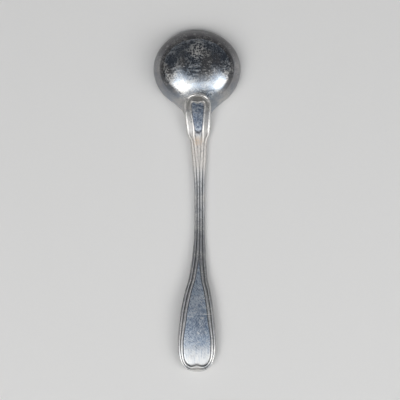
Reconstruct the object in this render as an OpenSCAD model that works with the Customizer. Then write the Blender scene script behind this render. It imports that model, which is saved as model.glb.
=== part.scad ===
// Small silver spoon with a deep round bowl, a fiddle shaped handle and a double thread along its edges.
// It lies face down, as it comes to rest: the hollow opens downwards and the back of the bowl is up.
// Plan places are [across, along]: across is measured from the centre line of the spoon, and along
// from the lip of the bowl towards the end of the handle. Heights are measured from the table.

/* [Overall] */
// Length of the spoon from the lip of the bowl to the end of the handle
spoon_l = 106; // [100:1:125]
// Sideways bow that use has left in the stem
stem_bow = 0.83; // [0:0.01:1.5]

/* [Bowl] */
// Width of the bowl at its widest line
bowl_w = 27; // [24:0.5:32]
// Length of the bowl from its lip to the widest line
bowl_lip_l = 12.05; // [10:0.05:15]
// Length of the bowl from the widest line to where its oval would close under the handle
bowl_heel_l = 12.7; // [11:0.05:15]
// Height of the back of the bowl above its rim
bowl_rise = 9.2; // [7:0.1:12]
// Thickness of the bowl at its deepest place
bowl_floor_t = 1; // [0.7:0.05:2]
// Width of the flat rim of the bowl
rim_w = 0.85; // [0.6:0.05:1.5]
// Radius that rounds the outer edge of the rim
rim_round = 0.2; // [0.05:0.05:0.4]
// Fullness of the bowl: at 1 its wall stands upright at the rim
fullness = 0.997; // [0.9:0.001:0.998]
// Squareness of the bowl's section: 2 is an ellipse and more is squarer
bowl_square = 2.2; // [2:0.05:2.6]

/* [Neck] */
// Angle round the oval, from the lip, where the outline leaves it for the neck
neck_leave = 140; // [125:1:150]
// Distance from the widest line of the bowl to the start of the neck
neck_from_bowl = 14.65; // [13.5:0.05:17]
// Width at the start of the neck
neck_w = 8.24; // [7:0.02:10]
// Length of the neck down to its shoulders
neck_l = 5.6; // [4.5:0.1:8]
// Width of the neck at its shoulders
shoulder_w = 6.94; // [6:0.02:8]
// Length over which the shoulders step in to the stem
shoulder_l = 1.9; // [1:0.1:3]
// Width of the stem under the shoulders
stem_top_w = 5.34; // [4.5:0.02:5.8]

/* [Stem and end] */
// Distance from the shoulders to where the stem is at its thinnest
stem_taper_l = 15.5; // [12:0.5:20]
// Width halfway down that taper
stem_mid_w = 4.1; // [3.6:0.05:4.6]
// Width of the stem at its thinnest
stem_w = 3.22; // [2.6:0.02:3.6]
// Distance from the end of the handle to where the stem begins to widen
widen_from_end = 45.5; // [42:0.5:48]
// Distance from the end of the handle to the middle of the flare
flare_from_end = 36; // [33:0.5:38]
// Width of the handle at the middle of the flare
flare_w = 4.16; // [3.7:0.02:4.8]
// Distance from the end of the handle to the soft shoulder of the fiddle
fiddle_from_end = 28.6; // [26:0.1:31]
// Width of the handle just above the soft shoulder
fiddle_w = 6; // [5:0.05:7]
// Length of the soft shoulder of the fiddle
fiddle_step_l = 3.6; // [2.5:0.1:5]
// Width of the handle just below the soft shoulder
fiddle_low_w = 7.9; // [7.2:0.05:8.6]
// Distance from the end of the handle to the middle of the fiddle's swell
swell_from_end = 17.6; // [15:0.1:20]
// Width of the handle in the middle of the swell
swell_w = 10.4; // [9:0.05:11]
// Greatest width of the handle
end_w = 11.6; // [11.2:0.05:14]
// Length of the rounded end beyond the greatest width
end_round_l = 8.6; // [7:0.1:11]
// Squareness of the rounded end: 2 is an ellipse and more is squarer
end_square = 2.6; // [2:0.1:3.2]

/* [Side curve] */
// Height of the rim above the table at the widest line of the bowl
rim_mid_z = 0.65; // [0.4:0.05:2]
// Height of the rim above the table at the heel of the bowl
heel_z = 1.7; // [1.4:0.05:3]
// Height of the front face above the table under the shoulders
stem_top_z = 0.65; // [0.3:0.05:1.2]
// Distance from the end of the handle to where the stem touches the table
rest_from_end = 47; // [43:0.5:52]
// Distance from the end of the handle to the highest place of the fiddle
crest_from_end = 14.5; // [11:0.5:18]
// Height of the front face above the table at that place
crest_z = 2.15; // [1.5:0.05:3]
// Height of the front face above the table at the end of the handle
end_z = 0.75; // [0.2:0.05:1.5]
// Share of the rim's mean rise to the widest line with which it starts to rise at the lip
lip_lift = 0.4; // [0.1:0.05:1.2]
// Share of the fiddle's mean dip towards its end with which it dips at the very end
end_dip = 2; // [1:0.1:2.5]

/* [Thickness] */
// Thickness of the spoon at the start of the neck
neck_t = 3.2; // [2.2:0.05:3.5]
// Thickness at the shoulders
shoulder_t = 1.95; // [1.6:0.05:2.4]
// Share of its mean taper down to the shoulders with which the neck starts to thin
neck_taper = 1.6; // [1:0.1:2.2]
// Thickness of the stem where it touches the table
stem_t = 1.6; // [1.3:0.05:2]
// Thickness of the fiddle at its highest place
end_t = 1.35; // [1.1:0.05:1.8]
// Distance from the widest line of the bowl to where its back begins to flow out into the neck
flow_from_bowl = 5; // [4:0.1:8]
// Distance from the widest line of the bowl to where its sides begin to pass into those of the neck
section_from_bowl = 2; // [0:0.5:4]
// Length over which the rim begins to thicken before the outline leaves the oval
rim_thicken_l = 2; // [1:0.5:4]
// Share of the thickness at which the edge of the handle stands out furthest
edge_share = 0.5; // [0.3:0.02:0.7]
// The same share at the start of the neck, where the back is crowned
neck_edge_share = 0.32; // [0.2:0.02:0.5]
// Fall of the back from the centre line to the edge of the neck
neck_crown = 1; // [0.5:0.05:1.4]
// Fall of the back from the centre line to the edge under the shoulders
top_crown = 0.24; // [0:0.02:0.5]
// Fall of the back from the centre line to the edge of the stem and the fiddle
stem_crown = 0.12; // [0:0.02:0.2]

/* [Threads] */
// Width of the outer thread
outer_thread_w = 0.9; // [0.6:0.02:1]
// Width of the inner thread
inner_thread_w = 0.92; // [0.6:0.02:1]
// Width of the flat between the two threads
thread_gap = 0.1; // [0.05:0.01:0.2]
// Depth of the grooves beside the threads
thread_depth = 0.28; // [0.1:0.02:0.4]
// Depth of the flat field of the fiddle under the crests of the threads
field_sink = 0.14; // [0.05:0.01:0.2]
// Slope width from the inner thread to the field
field_edge = 0.18; // [0.08:0.02:0.3]
// Width of field at which it has risen from the groove to its own level
field_open = 0.6; // [0.3:0.05:1]
// Narrowest half width of the field, where the threads of both sides meet along the stem
seam = 0.03; // [0.02:0.01:0.1]
// Length of the threads' run-out on the front, from the bowl's rim
front_fade_l = 3.5; // [2:0.5:6]
// Width of both threads together where the end of the handle begins to round
end_band_w = 1.45; // [1.2:0.05:1.9]
// Distance from the tip of the end to the field
end_frame_l = 1.65; // [1.3:0.05:2.2]
// Squareness of the end of the field: 2 is an ellipse and more is squarer
field_square = 3.4; // [2:0.1:4]
// Height of the small point that the threads make in the middle of the end
ogee_h = 0.5; // [0:0.02:0.8]
// Half width of that point
ogee_w = 2; // [0.8:0.1:2.4]

/* [Drop] */
// Length of the rounded end of the drop on the back of the bowl
drop_round_l = 3.3; // [3.1:0.1:5]
// Distance from the start of the neck back to where the drop begins to round
drop_side_l = 3.2; // [2.4:0.1:4]
// Width of the drop where it begins to round
drop_w = 8.1; // [7.6:0.05:9.5]
// Height of the drop's thread above the back of the bowl
drop_rise = 0.45; // [0.2:0.05:0.7]
// Distance from the side of the drop to its sunk panel
drop_frame_w = 2.1; // [1.9:0.05:2.4]
// Distance from the tip of the drop to its sunk panel
drop_tip_frame = 2.5; // [2:0.05:2.7]
// Width of the sunk panel at its lower end
drop_low_w = 2.3; // [1.2:0.02:2.6]
// Distance from the lower end of the sunk panel to the shoulders
drop_low_gap = 0.9; // [0.3:0.1:2]
// Width of the thread round the sunk panel
drop_inner_w = 0.6; // [0.4:0.05:0.9]
// Depth of the sunk panel
drop_sink = 0.4; // [0.1:0.05:0.5]
// Squareness of the sunk panel's upper end
drop_square = 3; // [2:0.1:4]
// Depth of the small point that dips into the panel from the middle of its upper end
drop_ogee_h = 0.42; // [0:0.02:0.6]
// Half width of that point
drop_ogee_w = 1.5; // [0.8:0.1:2]
// Length over which the sunk panel rises at its lower end
panel_end_l = 0.9; // [0.5:0.1:1.5]
// Depth of the hollow curve of the panel's lower end
panel_end_round = 0.9; // [0:0.1:1.2]

/* [Facets] */
// Rows of facets round the rounded end of the drop
drop_rows = 22; // [12:1:30]
// Rows along the straight sides of the drop
drop_side_rows = 10; // [6:1:14]
// Rows along the neck
neck_rows = 9; // [6:1:14]
// Rows over the shoulders
shoulder_rows = 5; // [4:1:8]
// Rows along the stem
stem_rows = 15; // [10:1:24]
// Rows along the flare and the fiddle
fiddle_rows = 20; // [14:1:30]
// Rows round the end of the handle
end_rows = 22; // [14:1:30]
// Facets from the drop over the back of the bowl to the rim
back_facets = 14; // [8:1:18]
// Facets from the rim to the deepest place of the hollow
hollow_facets = 11; // [8:1:16]
// Facets across one thread
thread_facets = 4; // [4:2:8]
// Facets across half of the field
field_facets = 2; // [1:1:4]

/* [Hidden] */

// Length of the step along the spoon over which a slope is taken
slope_step = 0.01;

// Places along the spoon
bowl_v = bowl_lip_l;
neck_v = bowl_v + neck_from_bowl;
drop_v = neck_v - drop_side_l;
hollow_end_v = bowl_v + bowl_heel_l - rim_w;
shoulder_v = neck_v + neck_l;
stem_v = shoulder_v + shoulder_l;
thin_v = stem_v + stem_taper_l;
rest_v = spoon_l - rest_from_end;
widen_v = spoon_l - widen_from_end;
fiddle_v = spoon_l - fiddle_from_end;
swell_v = spoon_l - swell_from_end;
crest_v = spoon_l - crest_from_end;
round_v = spoon_l - end_round_l;
panel_end_v = shoulder_v - drop_low_gap;

function clamp01(x) = min(max(x, 0), 1);
function ease(from, to, x) = let (t = clamp01((x - from) / (to - from))) t * t * (3 - 2 * t);
function mix(a, b, t) = a + (b - a) * t;

// Curve through keys of [along, value] that never overshoots them, with the end slopes as given
// shares of the slopes of the first and the last stretch
function stretch_slope(keys, i) = (keys[i + 1][1] - keys[i][1]) / (keys[i + 1][0] - keys[i][0]);
function key_slope(keys, i, first, last) =
    i == 0 ? first * stretch_slope(keys, 0)
    : i == len(keys) - 1 ? last * stretch_slope(keys, i - 1)
    : let (before = stretch_slope(keys, i - 1), after = stretch_slope(keys, i))
        before * after <= 0 ? 0 : 2 * before * after / (before + after);
function curve(keys, x, first = 1, last = 1) =
    let (
        passed = len([for (key = keys) if (key[0] <= x) 1]),
        i = min(max(passed - 1, 0), len(keys) - 2),
        span = keys[i + 1][0] - keys[i][0],
        t = clamp01((x - keys[i][0]) / span)
    )
    hermite(
        keys[i][1], keys[i + 1][1],
        key_slope(keys, i, first, last) * span, key_slope(keys, i + 1, first, last) * span, t
    );
function hermite(a, b, slope_a, slope_b, t) =
    a * (1 + 2 * t) * (1 - t) * (1 - t) + slope_a * t * (1 - t) * (1 - t)
    + b * t * t * (3 - 2 * t) - slope_b * t * t * (1 - t);

// Half width of the handle, the neck and the sides of the drop
handle_keys = [
    [drop_v, drop_w / 2],
    [neck_v, neck_w / 2],
    [shoulder_v, shoulder_w / 2],
    [stem_v, stem_top_w / 2],
    [stem_v + stem_taper_l / 2, stem_mid_w / 2],
    [thin_v, stem_w / 2],
    [widen_v, stem_w / 2],
    [spoon_l - flare_from_end, flare_w / 2],
    [fiddle_v, fiddle_w / 2],
    [fiddle_v + fiddle_step_l, fiddle_low_w / 2],
    [swell_v, swell_w / 2],
    [round_v, end_w / 2]
];
function handle_half(v) = curve(handle_keys, v, 1, 0);

// Outline of the bowl: an oval whose lip half and heel half differ in length
function oval_l(v, inset = 0) = (v < bowl_v ? bowl_lip_l : bowl_heel_l) - inset;
function oval_point(angle, inset = 0) = [
    (bowl_w / 2 - inset) * sin(angle),
    bowl_v - ((angle < 90 ? bowl_lip_l : bowl_heel_l) - inset) * cos(angle)
];
function oval_reach(u, v, inset = 0) = norm([u / (bowl_w / 2 - inset), (v - bowl_v) / oval_l(v, inset)]);

// Concave outline from the oval to the start of the neck
leave = oval_point(neck_leave);
leave_slope = (bowl_w / 2) / bowl_heel_l * cos(neck_leave) / sin(neck_leave);
neck_slope = key_slope(handle_keys, 1, 1, 0);
function flank_half(v) =
    let (span = neck_v - leave[1], t = (v - leave[1]) / span)
    hermite(leave[0], neck_w / 2, leave_slope * span, neck_slope * span, t);
function oval_half(v) = bowl_w / 2 * sqrt(max(0, 1 - pow((v - bowl_v) / oval_l(v), 2)));
function outline_half(v) = v < leave[1] ? oval_half(v) : v < neck_v ? flank_half(v) : handle_half(v);

// Side curves: front face, thickness, edge and back along the centre line
front_keys = [
    [0, 0], [bowl_v, rim_mid_z], [hollow_end_v, heel_z], [stem_v, stem_top_z],
    [rest_v, 0], [crest_v, crest_z], [spoon_l, end_z]
];
thickness_keys = [
    [neck_v, neck_t], [shoulder_v, shoulder_t], [rest_v, stem_t], [crest_v, end_t], [spoon_l, end_t]
];
crown_keys = [[neck_v, neck_crown], [stem_v, top_crown], [rest_v, stem_crown], [spoon_l, stem_crown]];
function front_z(v) = curve(front_keys, v, lip_lift, end_dip);
function thickness(v) = curve(thickness_keys, v, neck_taper);
function edge_z(v) =
    let (share = mix(neck_edge_share, edge_share, ease(neck_v, stem_v, v)))
    front_z(v) + mix(rim_round, thickness(v) * share, ease(leave[1] - rim_thicken_l, neck_v, v));

// Rounded fall from 1 on the centre line to 0 at the rim
function arch(q) = pow(1 - pow(q, bowl_square), 1 / bowl_square);
arch_foot = arch(fullness);
function fall(reach) = (arch(fullness * min(reach, 1)) - arch_foot) / (1 - arch_foot);
function dome_z(v, reach) = edge_z(v) + (bowl_rise - rim_round) * fall(reach);
function handle_back_z(v) = front_z(v) + thickness(v);
flow_v = bowl_v + flow_from_bowl;
flow_l = neck_v - flow_v;
flow_reach = flow_from_bowl / bowl_heel_l;
flow_start_z = dome_z(flow_v, flow_reach);
flow_next_z = dome_z(flow_v + slope_step, flow_reach + slope_step / bowl_heel_l);
flow_slope = (flow_next_z - flow_start_z) / slope_step;
neck_back_slope = (handle_back_z(neck_v + slope_step) - handle_back_z(neck_v)) / slope_step;
function spine_z(v) =
    v < flow_v ? dome_z(v, abs(v - bowl_v) / oval_l(v))
    : v < neck_v ? hermite(
        flow_start_z, handle_back_z(neck_v),
        flow_slope * flow_l, neck_back_slope * flow_l, (v - flow_v) / flow_l
    )
    : handle_back_z(v);

// Back of the bowl and of the neck without the drop: an oval dome that passes into sections across the neck
function bare_back_z(u, v) =
    let (
        dome = dome_z(v, oval_reach(u, v)),
        half = outline_half(v),
        section = edge_z(v) + (spine_z(v) - edge_z(v)) * fall(half > 0 ? u / half : 0)
    )
    mix(dome, section, ease(bowl_v + section_from_bowl, leave[1], v));
function hollow_z(u, v) = front_z(v) + (bowl_rise - bowl_floor_t) * fall(oval_reach(u, v, rim_w));

// Level of the threads' crests on the back and on the front
function back_crest_z(u, v) =
    let (
        half = handle_half(min(v, round_v)),
        on_drop = bare_back_z(u, min(v, neck_v)),
        on_handle = spine_z(v) - curve(crown_keys, v) * pow(u / half, 2),
        lift = drop_rise * (1 - ease(drop_v - drop_round_l, shoulder_v, v))
    )
    mix(on_drop, on_handle, ease(drop_v, neck_v, v)) + lift;
function front_crest_z(u, v) = front_z(v) + stem_crown * pow(u / handle_half(min(v, round_v)), 2);

// Small point in the middle of a rounded end
function ogee(u, height, half_w) = height * (1 + cos(180 * min(abs(u) / half_w, 1))) / 2;

// A row is [place on the outline, place on the field's edge, place on the centre line]
function drop_row(i) =
    let (
        angle = 90 - 90 * i / drop_rows,
        inner = 2 / drop_square,
        u = (drop_w / 2 - drop_frame_w) * pow(cos(angle), inner),
        v = drop_v - (drop_round_l - drop_tip_frame) * pow(sin(angle), inner)
    )
    [
        [drop_w / 2 * cos(angle), drop_v - drop_round_l * sin(angle)],
        [i == 0 ? 0 : u, v + ogee(u, drop_ogee_h, drop_ogee_w)],
        [0, drop_v]
    ];
function end_row(i) =
    let (
        angle = 90 * i / end_rows,
        outer = 2 / end_square,
        inner = 2 / field_square,
        last = i == end_rows,
        side = last ? 0 : end_w / 2 * pow(cos(angle), outer),
        u = last ? 0 : (end_w / 2 - end_band_w) * pow(cos(angle), inner),
        v = round_v + (end_round_l - end_frame_l) * pow(sin(angle), inner)
    )
    [
        [side, round_v + end_round_l * pow(sin(angle), outer)],
        [u, v - ogee(u, ogee_h, ogee_w) * sin(angle)],
        [0, round_v]
    ];

// Width of both threads together, which narrows over the lower half of the fiddle
band_w = outer_thread_w + thread_gap + inner_thread_w;
function threads_w(v) = mix(band_w, end_band_w, ease(swell_v, round_v, v));
panel_keys = [
    [drop_v, drop_w / 2 - drop_frame_w], [panel_end_v, drop_low_w / 2], [stem_v, stem_top_w / 2 - band_w]
];
function field_half(v) = v < stem_v ? curve(panel_keys, v, 0) : max(handle_half(v) - threads_w(v), seam);
function straight_row(v) = [[handle_half(v), v], [field_half(v), v], [0, v]];
function stretch(from, to, rows) = [for (i = [1 : rows]) mix(from, to, i / rows)];
handle_places = concat(
    stretch(neck_v, shoulder_v, neck_rows),
    stretch(shoulder_v, stem_v, shoulder_rows),
    stretch(stem_v, widen_v, stem_rows),
    stretch(widen_v, round_v, fiddle_rows)
);
back_rows = concat(
    [for (i = [0 : drop_rows]) drop_row(i)],
    [for (v = stretch(drop_v, neck_v, drop_side_rows)) straight_row(v)],
    [for (v = handle_places) straight_row(v)],
    [for (i = [1 : end_rows]) end_row(i)]
);

// On the front the rows start at the rim of the hollow, which bends them under the neck
function front_row(row) =
    let (
        v = row[0][1],
        lag = v > round_v ? 0 : (neck_v - hollow_end_v) * (1 - ease(neck_v, stem_v + shoulder_l, v)),
        middle = row[2] - [0, lag],
        half = norm(row[0] - middle),
        band = v > round_v ? norm(row[0] - row[1]) : min(threads_w(v), half - seam)
    )
    [row[0], v > round_v ? row[1] : mix(row[0], middle, band / half), middle];
rim_last = drop_rows + drop_side_rows;
back_last = len(back_rows) - 1;
front_rows = [for (i = [rim_last : back_last]) front_row(back_rows[i])];
front_last = len(front_rows) - 1;

// Columns across half of the handle: [kind, share], from the outline to the centre line
OUTER = 0;
INNER = 1;
FIELD = 2;
columns = concat(
    [for (i = [0 : thread_facets]) [OUTER, 180 * i / thread_facets]],
    [for (i = [0 : thread_facets]) [INNER, 180 * i / thread_facets]],
    [for (i = [0 : field_facets]) [FIELD, i / field_facets]]
);
column_last = len(columns) - 1;

// Distance of a column from the outline along its row, limited by the room that the row has
function column_place(row, column, inner_w) =
    let (
        band = norm(row[1] - row[0]),
        scale = min(1, band / (outer_thread_w + thread_gap + inner_w)),
        inner = inner_w * scale,
        outer = row[0][1] > round_v ? band - inner - thread_gap * scale : outer_thread_w * scale,
        edge = min(field_edge, norm(row[2] - row[1]) / 2),
        inward = (row[1] - row[0]) / band,
        to_middle = (row[2] - row[1]) / norm(row[2] - row[1])
    )
    column[0] == OUTER ? row[0] + inward * outer * (1 - cos(column[1])) / 2
    : column[0] == INNER ? row[0] + inward * (band - inner + inner * (1 - cos(column[1])) / 2)
    : mix(row[1] + to_middle * edge, row[2], column[1]);

// Depth of a column under the crests
function column_depth(row, column, depth, sink) =
    let (open = ease(0, field_open, norm(row[2] - row[1])))
    column[0] == FIELD ? mix(depth, sink, open) : depth * (1 - sin(column[1]));

function on_handle(v) = ease(panel_end_v, panel_end_v + panel_end_l, v);
function back_point(row, column) =
    let (
        at = row[0][1],
        drop_share = 1 - ease(drop_v, neck_v, at),
        inner_w = mix(drop_inner_w, inner_thread_w, on_handle(at)),
        place = column_place(row, column, inner_w),
        depth = max(thread_depth, drop_rise * drop_share),
        bend = panel_end_round * pow(place[0] / (drop_low_w / 2), 2),
        sink = mix(drop_sink, field_sink, on_handle(place[1] + bend)),
        crest = back_crest_z(place[0], place[1]),
        foot = at < neck_v ? bare_back_z(place[0], place[1]) : edge_z(place[1]),
        outer_flank = column[0] == OUTER && column[1] <= 90
    )
    [
        place[0], place[1],
        outer_flank ? mix(foot, crest, sin(column[1])) : crest - column_depth(row, column, depth, sink)
    ];
function front_point(row, column) =
    let (
        at = row[0][1],
        place = column_place(row, column, inner_thread_w),
        fade = ease(neck_v, neck_v + front_fade_l, at),
        crest = front_crest_z(place[0], place[1]),
        outer_flank = column[0] == OUTER && column[1] <= 90
    )
    [
        place[0], place[1],
        outer_flank ? mix(edge_z(place[1]), crest, sin(column[1]))
        : crest + fade * column_depth(row, column, thread_depth, field_sink)
    ];

// Rim: the outline of the bowl from the lip to the start of the neck, one place for each row of the drop
function rim_angle(i) = neck_leave * i / drop_rows;
function rim_place(i) =
    i <= drop_rows ? oval_point(rim_angle(i))
    : let (v = mix(leave[1], neck_v, (i - drop_rows) / drop_side_rows)) [flank_half(v), v];
function hollow_angle(i) =
    i <= drop_rows ? rim_angle(i) : mix(neck_leave, 180, (i - drop_rows) / drop_side_rows);
function bowl_back_point(i, k) =
    let (place = mix(back_rows[i][0], rim_place(i), sin(90 * k / back_facets)))
    [i == 0 ? 0 : place[0], place[1], bare_back_z(place[0], place[1])];
function rim_foot_point(i) =
    let (
        rim = rim_place(i),
        inner = oval_point(hollow_angle(i), rim_w),
        inset = mix(rim_round, outer_thread_w / 2, clamp01((i - drop_rows) / drop_side_rows)),
        place = rim + (inner - rim) * inset / norm(inner - rim)
    )
    [i == 0 ? 0 : place[0], place[1], front_z(place[1])];
function hollow_point(i, k) =
    let (
        place = mix([0, bowl_v], oval_point(hollow_angle(i), rim_w), cos(90 * k / hollow_facets)),
        on_axis = i == 0 || i == rim_last
    )
    [on_axis ? 0 : place[0], place[1], hollow_z(place[0], place[1])];

// Points of one half of the spoon, in five fields, and where each field starts in the list
back_points = [for (row = back_rows) for (column = columns) back_point(row, column)];
bowl_points = [for (i = [0 : rim_last - 1]) for (k = [1 : back_facets]) bowl_back_point(i, k)];
foot_points = [for (i = [0 : rim_last - 1]) rim_foot_point(i)];
hollow_points = [for (i = [0 : rim_last]) for (k = [0 : hollow_facets]) hollow_point(i, k)];
front_points = [for (row = front_rows) for (column = columns) front_point(row, column)];
bowl_start = len(back_points);
foot_start = bowl_start + len(bowl_points);
hollow_start = foot_start + len(foot_points);
front_start = hollow_start + len(hollow_points);
half_points = concat(back_points, bowl_points, foot_points, hollow_points, front_points);
half_count = len(half_points);

// Number of a point in the list: places where rows run together share one point
fan_last = back_last - end_rows;
function back_at(i, j) =
    let (row = j < column_last ? i : i < drop_rows ? drop_rows : min(i, fan_last))
    row * (column_last + 1) + j;
function bowl_at(i, k) =
    k == 0 || i == rim_last ? back_at(i, 0) : bowl_start + i * back_facets + k - 1;
function hollow_at(i, k) =
    hollow_start + (k == hollow_facets ? 0 : i) * (hollow_facets + 1) + k;
function front_at(i, j) =
    let (row = j == column_last ? min(i, front_last - end_rows) : i)
    j == 0 ? back_at(i + rim_last, 0)
    : j == column_last && row == 0 ? hollow_at(rim_last, 0)
    : front_start + row * (column_last + 1) + j;

function quad(a, b, c, d) = [[a, c, b], [a, d, c]];
// Facets between a short row and a long one: each point of the short row fans out from its own
// start in the long row
function zip_facets(short, long, starts) =
    concat(
        [for (j = [0 : len(long) - 2])
            [short[len([for (start = starts) if (start <= j) start]) - 1], long[j + 1], long[j]]],
        [for (i = [1 : len(short) - 1]) [short[i - 1], short[i], long[starts[i]]]]
    );

half_facets = [
    for (i = [0 : back_last - 1]) for (j = [0 : column_last - 1])
        each quad(back_at(i, j), back_at(i, j + 1), back_at(i + 1, j + 1), back_at(i + 1, j)),
    for (i = [0 : rim_last - 1]) for (k = [0 : back_facets - 1])
        each quad(bowl_at(i, k), bowl_at(i + 1, k), bowl_at(i + 1, k + 1), bowl_at(i, k + 1)),
    for (i = [0 : rim_last - 2])
        each concat(
            quad(bowl_at(i, back_facets), bowl_at(i + 1, back_facets), foot_start + i + 1, foot_start + i),
            quad(foot_start + i, foot_start + i + 1, hollow_at(i + 1, 0), hollow_at(i, 0))
        ),
    for (i = [0 : rim_last - 1]) for (k = [0 : hollow_facets - 1])
        each quad(hollow_at(i, k), hollow_at(i + 1, k), hollow_at(i + 1, k + 1), hollow_at(i, k + 1)),
    for (i = [0 : front_last - 1]) for (j = [0 : column_last - 1])
        each quad(front_at(i, j), front_at(i + 1, j), front_at(i + 1, j + 1), front_at(i, j + 1)),
    each zip_facets(
        [bowl_at(rim_last - 1, back_facets), foot_start + rim_last - 1, hollow_at(rim_last - 1, 0)],
        [for (j = [0 : column_last]) front_at(0, j)],
        [0, thread_facets / 2 - 1, thread_facets * 2 + 1]
    )
];
solid_facets = [for (f = half_facets) if (f[0] != f[1] && f[1] != f[2] && f[2] != f[0]) f];

// The other half mirrors this one and shares the points on the centre line
function twin(index) = half_points[index][0] == 0 ? index : index + half_count;
function bow_x(v) = stem_bow * ease(bowl_v, thin_v, v) * (1 - ease(widen_v, crest_v, v));
function placed(point, side) = [side * point[0] + bow_x(point[1]), spoon_l / 2 - point[1], point[2]];

module spoon() {
    color("silver")
        polyhedron(
            points = concat(
                [for (point = half_points) placed(point, 1)],
                [for (point = half_points) placed(point, -1)]
            ),
            faces = concat(
                solid_facets,
                [for (f = solid_facets) [twin(f[2]), twin(f[1]), twin(f[0])]]
            ),
            convexity = 6
        );
}

spoon();
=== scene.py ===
"""Looks of a small silver spoon that lies face down: its mesh, finish, floor, lamps and camera."""

import logging
import math
from collections.abc import Callable
from dataclasses import dataclass
from enum import Enum, IntEnum
from functools import reduce

import bpy
import numpy as np
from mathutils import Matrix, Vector


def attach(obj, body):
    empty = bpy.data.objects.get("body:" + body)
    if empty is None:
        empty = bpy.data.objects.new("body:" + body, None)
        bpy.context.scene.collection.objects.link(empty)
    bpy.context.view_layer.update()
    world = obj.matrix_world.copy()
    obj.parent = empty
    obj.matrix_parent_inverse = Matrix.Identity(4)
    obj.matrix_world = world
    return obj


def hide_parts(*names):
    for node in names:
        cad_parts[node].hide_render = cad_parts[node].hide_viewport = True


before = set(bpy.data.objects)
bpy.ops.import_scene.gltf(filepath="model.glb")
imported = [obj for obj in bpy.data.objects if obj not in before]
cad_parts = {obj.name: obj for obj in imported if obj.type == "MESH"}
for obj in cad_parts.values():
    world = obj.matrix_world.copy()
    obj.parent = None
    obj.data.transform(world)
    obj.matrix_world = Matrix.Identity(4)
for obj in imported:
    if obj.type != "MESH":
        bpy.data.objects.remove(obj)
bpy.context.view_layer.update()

log = logging.getLogger("spoon")

MM = 0.001
CAD_NODE = "spoon"
BODY = "root"
# The rim mark lies on the band by the bowl's edge, which carries a painted dark reflection
MARKS = ("groove", "field", "bowl", "rim")

Array = np.ndarray
Colour = tuple[float, float, float]
Pair = tuple[float, float]


# Curves


def ease(start: float, stop: float, x: Array) -> Array:
    """Smooth step from 0 at start to 1 at stop."""
    t = np.clip((np.asarray(x, float) - start) / (stop - start), 0, 1)
    return t * t * (3 - 2 * t)


def mix(a: Array, b: Array, t: Array) -> Array:
    """The value a share t of the way from a to b."""
    return a + (b - a) * t


def hermite(a: float, b: float, slope_a: float, slope_b: float, t: Array) -> Array:
    """Cubic from a to b with the given end slopes, for t from 0 to 1.

    Args:
        a: Value at the start.
        b: Value at the end.
        slope_a: Slope at the start.
        slope_b: Slope at the end.
        t: Shares of the way.

    Returns:
        Values on the way.
    """
    return (
        a * (1 + 2 * t) * (1 - t) ** 2 + slope_a * t * (1 - t) ** 2
        + b * t * t * (3 - 2 * t) - slope_b * t * t * (1 - t)
    )


def sine(degrees: Array) -> Array:
    """Sine of an angle in degrees."""
    return np.sin(np.radians(degrees))


def cosine(degrees: Array) -> Array:
    """Cosine of an angle in degrees, and exactly 0 at a right angle."""
    return np.where(np.isclose(degrees, 90), 0.0, np.cos(np.radians(degrees)))


def norm(vectors: Array) -> Array:
    """Lengths of vectors, with the last axis kept."""
    return np.linalg.norm(vectors, axis=-1, keepdims=True)


class Curve:
    """A smooth curve through keys that never overshoots them."""

    def __init__(self, keys: list[tuple[float, float]], first: float = 1, last: float = 1) -> None:
        """Sets the slope at every key.

        Args:
            keys: Places along the spoon and the values there.
            first: Share of the first stretch's slope that the curve starts with.
            last: Share of the last stretch's slope that the curve ends with.
        """
        self.places, self.values = np.array(keys, float).T
        steps = np.diff(self.values) / np.diff(self.places)
        before, after = steps[:-1], steps[1:]
        total = np.where(before * after > 0, before + after, 1)
        inner = np.where(before * after > 0, 2 * before * after / total, 0)
        self.slopes = np.concatenate([[first * steps[0]], inner, [last * steps[-1]]])

    def __call__(self, x: Array) -> Array:
        """The curve's value at each place x.

        Args:
            x: Places.

        Returns:
            Values there.
        """
        i = np.clip(np.searchsorted(self.places, x, side="right") - 1, 0, len(self.places) - 2)
        span = self.places[i + 1] - self.places[i]
        t = np.clip((x - self.places[i]) / span, 0, 1)
        return hermite(
            self.values[i], self.values[i + 1], self.slopes[i] * span, self.slopes[i + 1] * span, t
        )


# The spoon's sizes and form


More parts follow.
